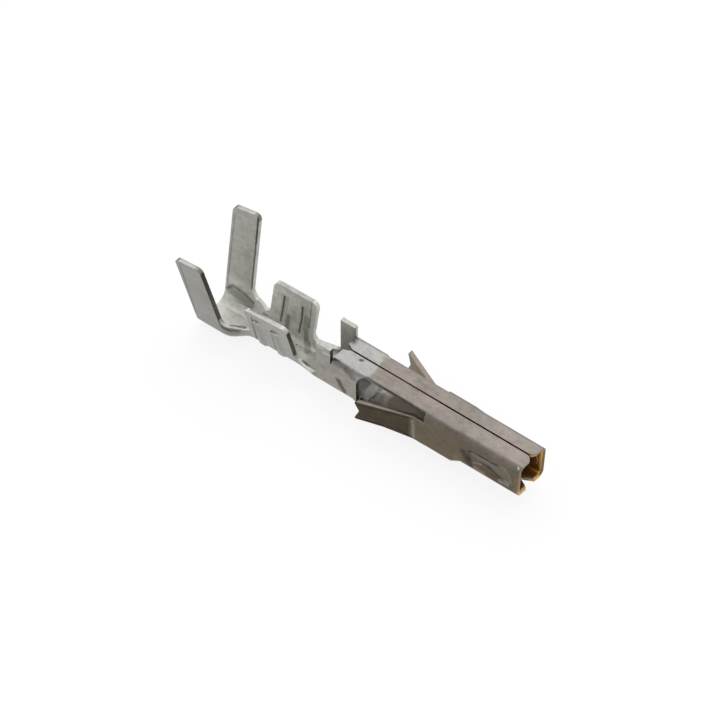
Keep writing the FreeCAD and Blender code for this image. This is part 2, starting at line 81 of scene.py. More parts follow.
class Axis(Enum):
    """A coordinate of a point on the contact."""

    ALONG = 0
    ACROSS = 1
    UP = 2


class Signal:
    """A number that varies over a surface: a node socket with Python's operators."""

    def __init__(self, bench: "ShaderBench", socket: bpy.types.NodeSocket) -> None:
        """Wrap a socket of the bench's node tree.

        Args:
            bench: The bench whose tree holds the socket.
            socket: The output socket to wrap.
        """
        self.bench = bench
        self.socket = socket

    def _math(self, operation: str, *values: Any) -> "Signal":
        """Result of one Math node on the given values."""
        node = self.bench.node("ShaderNodeMath", {"operation": operation},
                               dict(enumerate(values)))
        return Signal(self.bench, node.outputs[0])

    def __add__(self, other: "Number") -> "Signal":
        """Sum with a number or a signal."""
        return self._math("ADD", self, other)

    __radd__ = __add__

    def __sub__(self, other: "Number") -> "Signal":
        """Difference, this first."""
        return self._math("SUBTRACT", self, other)

    def __rsub__(self, other: "Number") -> "Signal":
        """Difference, this last."""
        return self._math("SUBTRACT", other, self)

    def __mul__(self, other: "Number") -> "Signal":
        """Product with a number or a signal."""
        return self._math("MULTIPLY", self, other)

    __rmul__ = __mul__

    def __truediv__(self, other: "Number") -> "Signal":
        """Quotient, this over the other."""
        return self._math("DIVIDE", self, other)

    def __rtruediv__(self, other: "Number") -> "Signal":
        """Quotient, the other over this."""
        return self._math("DIVIDE", other, self)

    def __abs__(self) -> "Signal":
        """Absolute value."""
        return self._math("ABSOLUTE", self)

    def smaller(self, other: "Number") -> "Signal":
        """The smaller of this and another."""
        return self._math("MINIMUM", self, other)

    def larger(self, other: "Number") -> "Signal":
        """The larger of this and another."""
        return self._math("MAXIMUM", self, other)

    def ramp(self, start: float, end: float) -> "Signal":
        """Smooth step from 0 at start to 1 at end, held beyond them.

        Args:
            start: Value at which the result is 0.
            end: Value at which the result is 1.

        Returns:
            The stepped signal.
        """
        low, high = (start, end) if start < end else (end, start)
        node = self.bench.node("ShaderNodeMapRange", {"interpolation_type": "SMOOTHSTEP"},
                               {"Value": self, "From Min": low, "From Max": high})
        rising = Signal(self.bench, node.outputs["Result"])
        return rising if start < end else 1 - rising


Number = Union[float, Signal]


@dataclass(frozen=True)
class Stroke:
    """A mark on the metal, laid along a path of points in millimetres."""

    path: tuple[Point, ...]
    half_width: float = 0.03
    fade: float = 0.05
    strength: float = 0.8


@dataclass(frozen=True)
class Cloud:
    """A noise: its features to the millimetre along X, Y and Z, and its finer octaves."""

    per_mm: Point
    detail: float = 2.0
    roughness: float = 0.5


class Output(Enum):
    """What a node tree ends in."""

    MATERIAL = "ShaderNodeOutputMaterial"
    WORLD = "ShaderNodeOutputWorld"


class ShaderBench:
    """Makes the nodes of one material or of the world."""

    def __init__(self, owner: bpy.types.Material | bpy.types.World,
                 output: Output = Output.MATERIAL) -> None:
        """Start the owner's tree afresh, with nothing but its output.

        Args:
            owner: The material or world that gets the nodes.
            output: The kind of output that the owner needs.
        """
        self.owner = owner
        owner.use_nodes = True
        self.tree = owner.node_tree
        self.tree.nodes.clear()
        self.output = self.tree.nodes.new(output.value)

    def node(self, kind: str, settings: dict[str, Any] | None = None,
             inputs: dict[Any, Any] | None = None) -> bpy.types.Node:
        """Add a node, set it up and feed its sockets.

        Args:
            kind: The node's type.
            settings: Properties that are set before the sockets are fed.
            inputs: Values, signals or sockets, by socket name or number.

        Returns:
            The new node.
        """
        made = self.tree.nodes.new(kind)
        for name, value in (settings or {}).items():
            setattr(made, name, value)
        for key, value in (inputs or {}).items():
            self.feed(made.inputs[key], value)
        return made

    def feed(self, target: bpy.types.NodeSocket, value: Any) -> None:
        """Link a signal or a socket to a target, or set the target's own value.

        Args:
            target: The input socket.
            value: A signal, an output socket, a number or a colour.
        """
        if isinstance(value, Signal):
            value = value.socket
        if isinstance(value, bpy.types.NodeSocket):
            self.tree.links.new(value, target)
        elif target.type == "RGBA":
            target.default_value = (*value, 1.0)
        else:
            target.default_value = value

    def position(self, axis: Axis) -> Signal:
        """One object coordinate, in millimetres.

        Args:
            axis: Which coordinate.

        Returns:
            The coordinate as a signal.
        """
        return Signal(self, self._split().outputs[axis.value]) * (1 / MM)

    def attribute(self, name: str) -> Signal:
        """A number that the mesh carries.

        Args:
            name: The attribute's name.

        Returns:
            The attribute as a signal.
        """
        reader = self.node("ShaderNodeAttribute", {"attribute_name": name})
        return Signal(self, reader.outputs["Fac"])

    def _split(self) -> bpy.types.Node:
        """Node that splits the object coordinates, made once.

        Returns:
            The node.
        """
        for existing in self.tree.nodes:
            if existing.label == "object coordinates":
                return existing
        source = self.node("ShaderNodeTexCoord")
        return self.node("ShaderNodeSeparateXYZ", {"label": "object coordinates"},
                         {0: source.outputs["Object"]})

    def point(self, wobble: float = 0.0) -> bpy.types.NodeSocket:
        """Object coordinates in millimetres, as a vector.

        Args:
            wobble: How far noise shifts the point about, in millimetres.

        Returns:
            The vector's socket.
        """
        source = self.node("ShaderNodeTexCoord")
        scaled = self.node("ShaderNodeVectorMath", {"operation": "SCALE"}, {
            0: source.outputs["Object"], "Scale": 1 / MM})
        if not wobble:
            return scaled.outputs[0]
        cloud = self.node("ShaderNodeTexNoise", {"noise_dimensions": "3D"}, {
            "Vector": scaled.outputs[0], "Scale": WOBBLE_PER_MM, "Detail": WOBBLE_DETAIL})
        shift = self.node("ShaderNodeVectorMath", {"operation": "SUBTRACT"}, {
            0: cloud.outputs["Color"], 1: (NOISE_MIDDLE, NOISE_MIDDLE, NOISE_MIDDLE)})
        moved = self.node("ShaderNodeVectorMath", {"operation": "MULTIPLY_ADD"}, {
            0: shift.outputs[0], 1: (wobble, wobble, wobble), 2: scaled.outputs[0]})
        return moved.outputs[0]

    def strokes(self, point: bpy.types.NodeSocket, marks: Iterable[Stroke]) -> Signal:
        """Cover of a set of strokes, 0 away from them and each one's strength on it.

        Args:
            point: The place on the surface, in millimetres.
            marks: The strokes.

        Returns:
            The strongest cover of any stroke.
        """
        covers = [self._cover(point, mark) for mark in marks]
        total = covers[0]
        for cover in covers[1:]:
            total = total.larger(cover)
        return total

    def _cover(self, point: bpy.types.NodeSocket, mark: Stroke) -> Signal:
        """Cover of one stroke, from the distance to the nearest of its segments.

        Args:
            point: The place on the surface, in millimetres.
            mark: The stroke.

        Returns:
            The stroke's strength on it, easing to 0 beyond its width.
        """
        gaps = []
        for start, end in zip(mark.path, mark.path[1:]):
            run = Vector(end) - Vector(start)
            offset = self.node("ShaderNodeVectorMath", {"operation": "SUBTRACT"},
                               {0: point, 1: start})
            share = self.node("ShaderNodeVectorMath", {"operation": "DOT_PRODUCT"}, {
                0: offset.outputs[0], 1: run / run.length_squared})
            held = Signal(self, share.outputs["Value"]).larger(0.0).smaller(1.0)
            nearest = self.node("ShaderNodeVectorMath", {"operation": "SCALE"},
                                {0: run, "Scale": held})
            gap = self.node("ShaderNodeVectorMath", {"operation": "DISTANCE"}, {
                0: offset.outputs[0], 1: nearest.outputs[0]})
            gaps.append(Signal(self, gap.outputs["Value"]))
        gap = gaps[0]
        for other in gaps[1:]:
            gap = gap.smaller(other)
        return gap.ramp(mark.half_width + mark.fade, mark.half_width) * mark.strength

    def noise(self, kind: Cloud) -> Signal:
        """Cloudy noise over the object coordinates.

        Args:
            kind: The noise's features and octaves.

        Returns:
            A signal of about 0 to 1.
        """
        source = self.node("ShaderNodeTexCoord")
        mapping = self.node("ShaderNodeMapping", None, {
            "Vector": source.outputs["Object"],
            "Scale": tuple(count / MM for count in kind.per_mm)})
        cloud = self.node("ShaderNodeTexNoise", {"noise_dimensions": "3D"}, {
            "Vector": mapping.outputs[0], "Scale": 1.0, "Detail": kind.detail,
            "Roughness": kind.roughness})
        return Signal(self, cloud.outputs["Fac"])

    def mix(self, share: Number, first: Any, second: Any) -> bpy.types.NodeSocket:
        """Blend two colours.

        Args:
            share: 0 for the first colour and 1 for the second.
            first: A colour or a colour socket.
            second: A colour or a colour socket.

        Returns:
            The blended colour's socket.
        """
        node = self.node("ShaderNodeMix", {"data_type": "RGBA"})
        self.feed(node.inputs[MIX_SHARE], share)
        self.feed(node.inputs[MIX_FIRST], first)
        self.feed(node.inputs[MIX_SECOND], second)
        return node.outputs[MIX_RESULT]

    def scaled(self, colour: Any, factor: Signal) -> bpy.types.NodeSocket:
        """A colour made lighter or darker by a signal.

        Args:
            colour: A colour or a colour socket.
            factor: The signal that it is multiplied by.

        Returns:
            The scaled colour's socket.
        """
        node = self.node("ShaderNodeVectorMath", {"operation": "SCALE"})
        if isinstance(colour, bpy.types.NodeSocket):
            self.tree.links.new(colour, node.inputs[0])
        else:
            node.inputs[0].default_value = colour
        self.feed(node.inputs["Scale"], factor)
        return node.outputs[0]

    def finish(self, shader: bpy.types.NodeSocket) -> Any:
        """Send a shader to the output and give the tree's owner.

        Args:
            shader: The shader's socket.

        Returns:
            The finished material or world.
        """
        self.tree.links.new(shader, self.output.inputs["Surface"])
        return self.owner


@dataclass(frozen=True)
class PlatedStrip:
    """Finish of the folded strip: bright tin behind, duller grey ahead, gold in the mouth.

    Places are in millimetres in the contact's own frame. A span runs from the value where
    its zone or effect is absent to the value where it is full.
    """

    tin: Colour = (0.37, 0.362, 0.328)
    # Outer faces: darker copies of the tin, painted shade, darkest on the insulation
    # barrel.
    tin_outside_shaded: Colour = (0.2, 0.194, 0.174)
    tin_barrel: Colour = (0.28, 0.275, 0.258)
    tin_flap: Colour = (0.265, 0.262, 0.255)
    # Side walls: a darker copy of the tin, painted shade.
    tin_wall_shaded: Colour = (0.29, 0.272, 0.245)
    # Lining of the barrels: a lighter copy of the tin, painted light.
    tin_lining_lit: Colour = (0.55, 0.55, 0.51)
    nickel: Colour = (0.2, 0.172, 0.156)
    nickel_worn: Colour = (0.175, 0.162, 0.142)
    # Side walls: a darker copy of the nickel, painted shade.
    nickel_wall_shaded: Colour = (0.126, 0.1, 0.068)
    # Lining of the box: a lighter copy of the nickel, painted light.
    nickel_lining_lit: Colour = (0.3, 0.28, 0.26)
    # Near lance: a much darker copy of the plating, painted shade.
    near_lance_shaded: Colour = (0.06, 0.047, 0.032)
    gold: Colour = (0.44, 0.27, 0.09)
    pale_gold: Colour = (0.21, 0.165, 0.085)
    rim_shade: Colour = (0.1, 0.072, 0.038)
    # Near-white painted light that cancels the shade on the groove tops.
    ledge_light: Colour = (0.95, 0.94, 0.9)
    rim_gold: Colour = (0.42, 0.32, 0.15)
    # Dull blotches, and painted shade on the forward rounds.
    tarnish_and_edge_shade: Colour = (0.06, 0.052, 0.04)
    # Thin dark lines: painted shade along edges, grooves, the emboss and the lance.
    line_shade: Colour = (0.016, 0.013, 0.01)
    # Dark spots, partly painted shade in the emboss's pit, a dimple and the box.
    smudge_and_shade: Colour = (0.04, 0.033, 0.025)
    bare_brass: Colour = (0.34, 0.21, 0.1)
    far_lance: Colour = (0.13, 0.1, 0.048)
    olive: Colour = (0.2, 0.19, 0.14)
    # Olive painted shade in the barrels.
    olive_shade: Colour = (0.1, 0.098, 0.07)
    # Colour of the painted highlights.
    pale: Colour = (0.6, 0.58, 0.55)
    cut_tin: Colour = (0.42, 0.415, 0.4)
    cut_nickel: Colour = (0.26, 0.22, 0.19)
    shaded_cut: Colour = (0.11, 0.104, 0.082)

    cloud: Cloud = Cloud((0.9, 1.4, 1.4), detail=4.0, roughness=0.6)
    blotch: Cloud = Cloud((2.6, 3.4, 3.4), detail=3.0, roughness=0.65)
    brushed: Cloud = Cloud((1.2, 22.0, 22.0))
    grain: Cloud = Cloud((9.0, 9.0, 9.0), detail=3.0, roughness=0.7)
    wear: Cloud = Cloud((1.8, 4.0, 4.0), detail=3.0, roughness=0.6)

    plating_edge_mm: float = -9.9
    plating_blend_mm: float = 0.15
    plating_wander_mm: float = 1.2
    box_rear_mm: float = -12.2
    barrel_edge_mm: float = -14.4
    zone_blend_mm: float = 0.3
    gold_edge_mm: float = -2.6
    gold_blend_mm: float = 0.6
    gold_wander_mm: float = 0.8
    wall_across: Span = (0.8, 1.08)
    wall_up: Span = (1.08, 0.7)
    lance_root: Span = (-6.6, -7.1)
    lance_tip: Span = (-11.1, -10.8)
    lance_across: Span = (1.15, 1.22)
    far_across: Span = (0.0, 0.1)
    barrel_along: Span = (-18.3, -17.9)
    lining_along: Span = (-18.0, -17.5)
    lining_up: Span = (0.3, -0.7)
    seam_across: Span = (0.2, 0.12)
    seam_up: Span = (0.75, 0.82)
    front_lean: float = 0.08
    front_along: Span = (-0.13, -0.1)
    rim_gold_up: Span = (-0.6, -0.8)
    rim_shade_up: Span = (0.9, 0.7)
    rim_shade_across: Span = (0.6, 0.8)
    rim_nickel_up: Span = (0.7, 0.95)
    rim_nickel_across: Span = (0.1, -0.1)

    stain_range: Span = (0.5, 0.72)
    stain_share: float = 0.5
    wear_range: Span = (0.42, 0.6)
    dull_range: Span = (0.55, 0.8)
    dull_share: float = 0.35
    cut_share: float = 0.85
    edge_shade_share: float = 0.75
    loose_wobble_mm: float = 0.16
    steady_wobble_mm: float = 0.05
    cloud_tone: float = 0.6
    blotch_tone: float = 0.94
    brushed_tone: float = 0.16
    grain_tone: float = 0.36
    front_tone: float = 0.14
    front_tone_along: Span = (-5.0, -1.0)

    tin_roughness: float = 0.28
    nickel_roughness: float = 0.38
    lining_roughness: float = 0.15
    blotch_roughness: float = 0.2
    brushed_roughness: float = 0.1
    lining_haze: float = 0.6
    bump_strength: float = 0.3
    bump_depth_mm: float = 0.004
    brushed_bump: float = 0.6
    grain_bump: float = 0.4

    painted_shade_lines: tuple[Stroke, ...] = (
        # Insulation barrel: painted shade along the bend across it, then painted shade
        # outlining its wings.
        Stroke(((-20.6, 0.99, -1.05), (-20.24, 1.04, -0.7), (-19.51, 1.03, -0.79),
                (-18.88, 0.98, -1.01)), 0.03, 0.13, 0.6),
        Stroke(((-20.0, 0.89, -1.47), (-19.46, 0.89, -1.48), (-18.96, 0.92, -1.39)),
               0.015, 0.06, 0.35),
        Stroke(((-19.1, 1.73, 4.6), (-19.09, 1.5, 2.8)), 0.04, 0.04, 0.9),
        Stroke(((-19.09, 1.5, 2.8), (-19.09, 1.12, -0.2)), 0.03, 0.04, 0.75),
        Stroke(((-19.04, -2.98, 4.2), (-19.04, -1.51, -0.7)), 0.03, 0.05, 0.75),
        Stroke(((-20.58, 1.6, 3.9), (-20.62, 1.02, -0.86)), 0.02, 0.06, 0.4),
        Stroke(((-20.46, -2.98, 4.2), (-20.58, -2.16, 1.46), (-20.67, -1.45, -0.93)),
               0.03, 0.05, 0.6),
        Stroke(((-20.4, -3.0, 4.3), (-19.6, -3.05, 4.42), (-19.15, -3.03, 4.35)),
               0.025, 0.04, 0.55),
        # Conductor barrel: painted shade in the grooves outside and inside, then along the
        # far wing's front edge.
        Stroke(((-17.0, -1.47, 1.2), (-17.11, -1.19, 0.21), (-17.16, -0.89, -0.83),
                (-17.2, -0.8, -1.1)), 0.04, 0.05, 0.85),
        Stroke(((-15.81, -1.41, 0.98), (-15.86, -1.11, -0.06), (-15.88, -0.85, -0.98)),
               0.04, 0.05, 0.85),
        Stroke(((-16.83, 1.0, 0.81), (-16.82, 0.8, -0.15), (-16.84, 0.67, -0.73)),
               0.015, 0.06),
        Stroke(((-15.65, 0.99, 0.79), (-15.6, 0.85, 0.03), (-15.62, 0.66, -0.74),
                (-15.46, 0.26, -1.25)), 0.02, 0.06),
        Stroke(((-15.11, 1.06, 1.39), (-15.06, 0.91, 0.66), (-15.06, 0.74, -0.11)),
               0.015, 0.06, 0.45),
        # Near beam: painted shade along both long sides of the emboss.
        Stroke(((-3.25, -0.93, 0.15), (-2.83, -0.89, 0.17), (-1.99, -0.9, 0.16),
                (-1.49, -0.96, 0.33)), 0.035, 0.05, 0.85),
        Stroke(((-2.23, -1.07, -0.62), (-1.46, -1.07, -0.76)), 0.015, 0.05, 0.35),
        # Near lance: painted shade along its long edges and at the tips of its fork.
        Stroke(((-6.83, -1.14, 0.3), (-8.26, -1.55, 0.18), (-9.58, -1.93, 0.06)),
               0.01, 0.05, 0.6),
        Stroke(((-6.83, -1.14, -1.09), (-7.73, -1.4, -0.8), (-8.78, -1.7, -0.85),
                (-9.75, -1.98, -0.96)), 0.015, 0.06, 0.6),
        Stroke(((-9.9, -2.02, 0.05), (-9.7, -1.97, 0.02)), 0.03, 0.05, 0.7),
        Stroke(((-9.93, -2.03, -0.9), (-9.7, -1.98, -0.95)), 0.03, 0.05, 0.7),
        # Necks: painted shade along the near edge of the floor, ahead of and behind the
        # conductor barrel.
        Stroke(((-15.05, -0.3, -1.17), (-14.7, -0.66, -1.0), (-14.1, -0.74, -0.88),
                (-13.5, -0.74, -0.86)), 0.04, 0.06, 0.75),
        Stroke(((-19.0, -1.47, -0.84), (-18.6, -1.31, -1.0), (-18.1, -1.11, -0.84)),
               0.03, 0.06, 0.75),
    )
    smudges_and_shade: tuple[Stroke, ...] = (
        # Near side: painted shade at the emboss's rear end; darker patches behind the
        # window and below the flap.
        Stroke(((-3.59, -1.07, -0.05), (-3.42, -1.07, -0.3), (-3.2, -1.07, -0.61)),
               0.08, 0.22, 0.8),
        Stroke(((-11.62, -1.13, -0.15), (-11.25, -1.13, -0.65)), 0.06, 0.22, 0.75),
        Stroke(((-11.92, -1.04, 0.98), (-11.22, -1.02, 1.0)), 0.05, 0.25, 0.35),
        Stroke(((-11.22, -1.1, 0.95), (-10.67, -1.13, 0.7)), 0.06, 0.22, 0.5),
        # Near flap: painted shade of a dimple beside the seam.
        Stroke(((-10.95, -0.2, 1.1), (-10.85, -0.17, 1.1)), 0.05, 0.06, 0.85),
        # Rear neck.
        Stroke(((-18.93, -1.45, -0.75), (-18.6, -1.3, -0.9)), 0.05, 0.12, 0.6),
        Stroke(((-18.0, 0.7, -0.95), (-17.65, 0.61, -0.85)), 0.02, 0.08, 0.5),
        # Box floor, seen through the near window: painted shade inside the box.
        Stroke(((-8.83, 0.22, -1.15), (-7.6, 0.32, -1.15)), 0.4, 0.5, 0.85),
        Stroke(((-9.63, -0.1, -1.15), (-8.9, 0.1, -1.15)), 0.25, 0.4, 0.4),
    )
    olive_shade_patches: tuple[Stroke, ...] = (
        # Insulation barrel's floor: painted shade where the far wing bends into it.
        Stroke(((-20.4, 0.99, -1.05), (-19.8, 0.98, -1.15), (-19.1, 0.95, -1.25)),
               0.18, 0.2, 0.5),
        # Conductor barrel's far wing, down to its floor: painted shade by the grooves and a
        # dark painted reflection on the floor.
        Stroke(((-15.3, 0.85, 0.3), (-15.25, 0.7, -0.4)), 0.12, 0.2, 0.5),
        Stroke(((-16.8, 1.2, 1.9), (-15.4, 1.2, 1.9)), 0.3, 0.5, 0.2),
        Stroke(((-16.38, 0.74, -0.15), (-16.4, 0.62, -0.8)), 0.1, 0.12, 0.6),
        Stroke(((-15.2, 0.67, -0.45), (-15.04, 0.55, -0.99), (-14.71, 0.23, -1.17)),
               0.12, 0.12, 0.6),
        # Insulation barrel's near wing.
        Stroke(((-19.45, -2.4, 2.28), (-19.44, -2.11, 1.29)), 0.1, 0.4, 0.3),
    )
    painted_highlights: tuple[Stroke, ...] = (
        # Near emboss: painted highlights on its front end and lower flank.
        Stroke(((-1.07, -1.0, 0.44), (-0.72, -1.05, 0.19), (-0.57, -1.06, -0.3)),
               0.02, 0.1, 0.1),
        Stroke(((-2.97, -1.04, -0.4), (-2.59, -0.94, -0.38)), 0.02, 0.06, 0.2),
        # Box floor, seen through the rear of the near window: painted highlight.
        Stroke(((-10.86, -0.17, -0.85), (-10.46, 0.15, -1.0), (-10.2, -0.18, -1.14)),
               0.25, 0.3, 0.55),
        # Near beam: painted highlights at the emboss's foot and the mouth's upper corner.
        Stroke(((-1.27, -1.06, -0.56), (-0.8, -1.07, -0.5)), 0.05, 0.14, 0.3),
        Stroke(((-0.22, -0.93, 1.04), (-0.16, -0.98, 0.98)), 0.02, 0.05, 0.8),
        # Near lance's fold: painted highlight; then a lighter spot on the far conductor
        # wing.
        Stroke(((-6.8, -1.14, 0.19), (-6.77, -1.13, -0.99)), 0.05, 0.1, 0.16),
        Stroke(((-15.87, 0.94, 0.83), (-15.9, 0.88, 0.5)), 0.06, 0.12, 0.3),
        # Painted highlights below the emboss, then on the near tab.
        Stroke(((-2.85, -1.07, -0.7), (-2.3, -1.07, -0.75)), 0.04, 0.12, 0.15),
        Stroke(((-13.02, -1.13, 1.6), (-12.63, -1.13, 1.58)), 0.04, 0.08, 0.4),
        Stroke(((-12.6, -1.13, 1.3), (-12.2, -1.13, 1.35)), 0.04, 0.08, 0.35),
    )
    ledge_light_strokes: tuple[Stroke, ...] = (
        # Tops of the two grooves in the near conductor wing: painted light over their
        # shade.
        Stroke(((-16.98, -1.45, 0.97), (-16.58, -1.45, 0.97)), 0.05, 0.03, 0.38),
        Stroke(((-15.78, -1.45, 0.97), (-15.38, -1.45, 0.97)), 0.05, 0.03, 0.38),
    )
    gilded: tuple[Stroke, ...] = (
        # Near beam's front edge and window end, then the lips of the mouth.
        Stroke(((-0.2, -1.07, 0.3), (-0.2, -1.07, -1.0)), 0.05, 0.25, 0.12),
        Stroke(((-4.15, -1.09, -0.5), (-4.0, -1.09, -0.95)), 0.05, 0.2, 0.08),
        Stroke(((-0.5, -0.4, -1.1), (-0.2, 0.4, -1.1), (-0.1, 0.7, -1.05)), 0.1, 0.1, 0.8),
    )

    def build(self) -> bpy.types.Material:
        """Make the material.

        Returns:
            The plated strip's material.
        """
        bench = ShaderBench(bpy.data.materials.new("plated_strip"))
        cloud, blotch, brushed, grain = (bench.noise(kind) for kind in (
            self.cloud, self.blotch, self.brushed, self.grain))
        along = bench.position(Axis.ALONG)
        inner = bench.attribute(INNER_FACE)
        wall = (abs(bench.position(Axis.ACROSS)).ramp(*self.wall_across)
                * bench.position(Axis.UP).ramp(*self.wall_up))
        mouth = (along + cloud * self.gold_wander_mm).ramp(
            self.gold_edge_mm - self.gold_blend_mm, self.gold_edge_mm + self.gold_blend_mm)
        ahead = (along + (cloud - NOISE_MIDDLE) * self.plating_wander_mm).ramp(
            self.plating_edge_mm - self.plating_blend_mm,
            self.plating_edge_mm + self.plating_blend_mm)
        splayed = (abs(bench.position(Axis.ACROSS)).ramp(*self.lance_across)
                   * along.ramp(*self.lance_root) * along.ramp(*self.lance_tip))
        plated = ahead.larger(splayed)

        rear = self._tin_part(bench, wall, cloud.ramp(*self.stain_range) * (1 - ahead))
        front = self._nickel_part(bench, wall, splayed)
        colour = bench.mix(plated, rear, front)
        colour = bench.mix(bench.attribute(CUT_EDGE) * self.cut_share, colour,
                           self._cut_metal(bench, plated))
        # Rounds facing forward and towards the near side are darkened: painted shade.
        colour = bench.mix(bench.attribute(PAINTED_EDGE_SHADE) * self.edge_shade_share, colour,
                           self.tarnish_and_edge_shade)
        colour = bench.mix(inner * mouth, colour, self.gold)
        colour = self._rimmed(bench, colour)
        colour = self._marked(bench, colour)
        colour = bench.mix(blotch.ramp(*self.dull_range) * self.dull_share, colour,
                           self.tarnish_and_edge_shade)
        tone = (cloud * self.cloud_tone + blotch * self.blotch_tone
                + brushed * self.brushed_tone + grain * self.grain_tone
                + (1 - wall) * along.ramp(*self.front_tone_along) * self.front_tone)

        lined = inner * (1 - mouth)
        rough = (plated * (self.nickel_roughness - self.tin_roughness) + self.tin_roughness
                 + lined * self.lining_roughness
                 + (blotch - NOISE_MIDDLE) * self.blotch_roughness
                 + (brushed - NOISE_MIDDLE) * self.brushed_roughness)
        bump = bench.node("ShaderNodeBump", None, {
            "Strength": self.bump_strength, "Distance": self.bump_depth_mm * MM,
            "Height": brushed * self.brushed_bump + grain * self.grain_bump})
        shader = bench.node("ShaderNodeBsdfPrincipled", None, {
            "Base Color": bench.scaled(colour, tone),
            "Metallic": 1 - lined * self.lining_haze,
            "Roughness": rough, "Normal": bump.outputs[0]})
        return bench.finish(shader.outputs[0])

    def _zone(self, bench: ShaderBench, edge_mm: float) -> Signal:
        """1 ahead of a place along the contact, 0 behind it."""
        return bench.position(Axis.ALONG).ramp(edge_mm - self.zone_blend_mm,
                                               edge_mm + self.zone_blend_mm)

    def _tin_part(self, bench: ShaderBench, wall: Signal,
                  stain: Signal) -> bpy.types.NodeSocket:
        """Colour of the tinned rear part.

        Args:
            bench: The material's bench.
            wall: 1 on the box's side walls.
            stain: 1 where the tin is stained olive.

        Returns:
            The colour's socket.
        """
        along = bench.position(Axis.ALONG)
        inner = bench.attribute(INNER_FACE)
        in_front = self._zone(bench, self.barrel_edge_mm)
        low = along.ramp(*self.lining_along).larger(
            bench.position(Axis.UP).ramp(*self.lining_up))
        # Outer faces take darker copies of the tin than the inner ones: painted shade.
        outside = bench.mix(along.ramp(*self.barrel_along), self.tin_outside_shaded,
                            self.tin_barrel)
        colour = bench.mix(inner, outside, self.tin)
        colour = bench.mix(self._zone(bench, self.box_rear_mm), colour, self.tin_flap)
        # Side walls ahead of the barrels take the darker tin: painted shade.
        colour = bench.mix(wall * in_front, colour, self.tin_wall_shaded)
        # The conductor barrel's lining and the insulation barrel's floor are lighter:
        # painted light.
        colour = bench.mix(inner * low * (1 - in_front), colour, self.tin_lining_lit)
        return bench.mix(stain * self.stain_share, colour, self.olive)

    def _nickel_part(self, bench: ShaderBench, wall: Signal,
                     splayed: Signal) -> bpy.types.NodeSocket:
        """Colour of the duller front part.

        Args:
            bench: The material's bench.
            wall: 1 on the box's side walls.
            splayed: 1 on the lances.

        Returns:
            The colour's socket.
        """
        worn = bench.noise(self.wear).ramp(*self.wear_range)
        colour = bench.mix(worn, self.nickel, self.nickel_worn)
        # The near lance is painted very dark, painted shade; the far lance takes dark
        # olive.
        lance = bench.mix(bench.position(Axis.ACROSS).ramp(*self.far_across),
                          self.near_lance_shaded, self.far_lance)
        # Side walls take the darker nickel: painted shade.
        shaded_side = bench.mix(splayed, self.nickel_wall_shaded, lance)
        colour = bench.mix(wall.larger(splayed), colour, shaded_side)
        # Inner faces of the box are lighter: painted light.
        return bench.mix(bench.attribute(INNER_FACE), colour, self.nickel_lining_lit)

    def _cut_metal(self, bench: ShaderBench, plated: Signal) -> bpy.types.NodeSocket:
        """Colour of the faces that the die has cut.

        Args:
            bench: The material's bench.
            plated: 1 on the duller front part, 0 on the tin.

        Returns:
            The colour's socket.
        """
        shaded = bench.attribute(SHADED_CUT)
        seam = (abs(bench.position(Axis.ACROSS)).ramp(*self.seam_across)
                * bench.position(Axis.UP).ramp(*self.seam_up)
                * self._zone(bench, self.box_rear_mm))
        colour = bench.mix(plated, self.cut_tin, self.cut_nickel)
        colour = bench.mix(shaded, colour, self.shaded_cut)
        return bench.mix(seam * shaded, colour, self.bare_brass)

    def _rimmed(self, bench: ShaderBench,
                colour: bpy.types.NodeSocket) -> bpy.types.NodeSocket:
        """Colour with the mouth's rim laid over it.

        Args:
            bench: The material's bench.
            colour: The colour beside the rim.

        Returns:
            The colour's socket.
        """
        across = bench.position(Axis.ACROSS)
        up = bench.position(Axis.UP)
        face = (bench.position(Axis.ALONG) - up * self.front_lean).ramp(*self.front_along)
        rim = bench.mix(up.ramp(*self.rim_gold_up), self.pale_gold, self.rim_gold)
        rim = bench.mix(up.ramp(*self.rim_shade_up) * across.ramp(*self.rim_shade_across),
                        rim, self.rim_shade)
        rim = bench.mix(up.ramp(*self.rim_nickel_up) * across.ramp(*self.rim_nickel_across),
                        rim, self.nickel)
        return bench.mix(face, colour, rim)

    def _marked(self, bench: ShaderBench,
                colour: bpy.types.NodeSocket) -> bpy.types.NodeSocket:
        """Colour with gold tints, dark spots, painted shade, painted highlights and painted
        light laid over it.

        Args:
            bench: The material's bench.
            colour: The colour beside the marks.

        Returns:
            The colour's socket.
        """
        loose = bench.point(wobble=self.loose_wobble_mm)
        steady = bench.point(wobble=self.steady_wobble_mm)
        for point, marks, shade in ((loose, self.olive_shade_patches, self.olive_shade),
                                    (loose, self.gilded, self.gold),
                                    (steady, self.painted_highlights, self.pale),
                                    (steady, self.ledge_light_strokes, self.ledge_light),
                                    (loose, self.smudges_and_shade, self.smudge_and_shade),
                                    (steady, self.painted_shade_lines, self.line_shade)):
            colour = bench.mix(bench.strokes(point, marks), colour, shade)
        return colour


